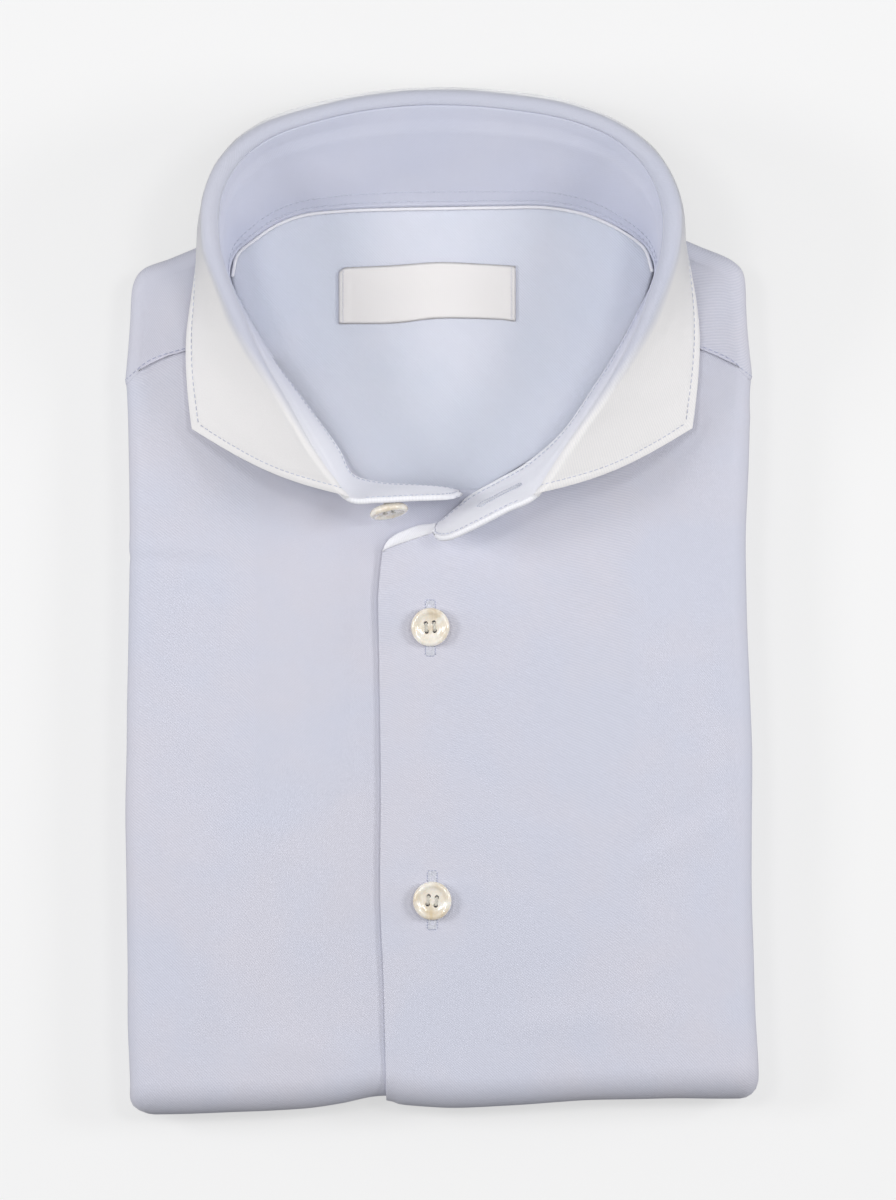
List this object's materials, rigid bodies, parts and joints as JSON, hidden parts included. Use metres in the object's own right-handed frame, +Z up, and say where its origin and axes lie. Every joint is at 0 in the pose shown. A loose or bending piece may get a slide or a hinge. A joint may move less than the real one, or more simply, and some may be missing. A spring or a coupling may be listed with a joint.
{
  "type": "long sleeve dress shirt",
  "caption": "Long sleeve dress shirt folded flat for the shelf, with a cutaway spread collar standing open on top, a plain front, pearl buttons and a bare label inside the neck.",
  "frame": {"origin": "bottom centre of the folded shirt's box, on the surface it lies on", "axes": "+Y up the shirt towards the collar, +X to the viewer's right as the front is seen, +Z up from the surface"},
  "size_m": [0.1968, 0.3206, 0.0586],
  "materials": {
    "twill": "fine cotton twill, pale lavender blue",
    "inside_twill": "fine cotton twill, the same cloth seen in the neck",
    "white_piping": "white cotton cord",
    "label_satin": "off-white woven label, bare",
    "pearl_button": "cream pearl button"
  },
  "bodies": {
    "root": {"folded_layers": "inside_twill", "front_left": "twill", "front_right": "twill", "yoke": "twill", "yoke_inside": "inside_twill", "collar_stand": "twill", "collar_fall": "twill", "neck_piping": "white_piping", "label": "label_satin", "button_front_1": "pearl_button", "button_front_2": "pearl_button", "button_collar": "pearl_button"}
  },
  "joints": []
}
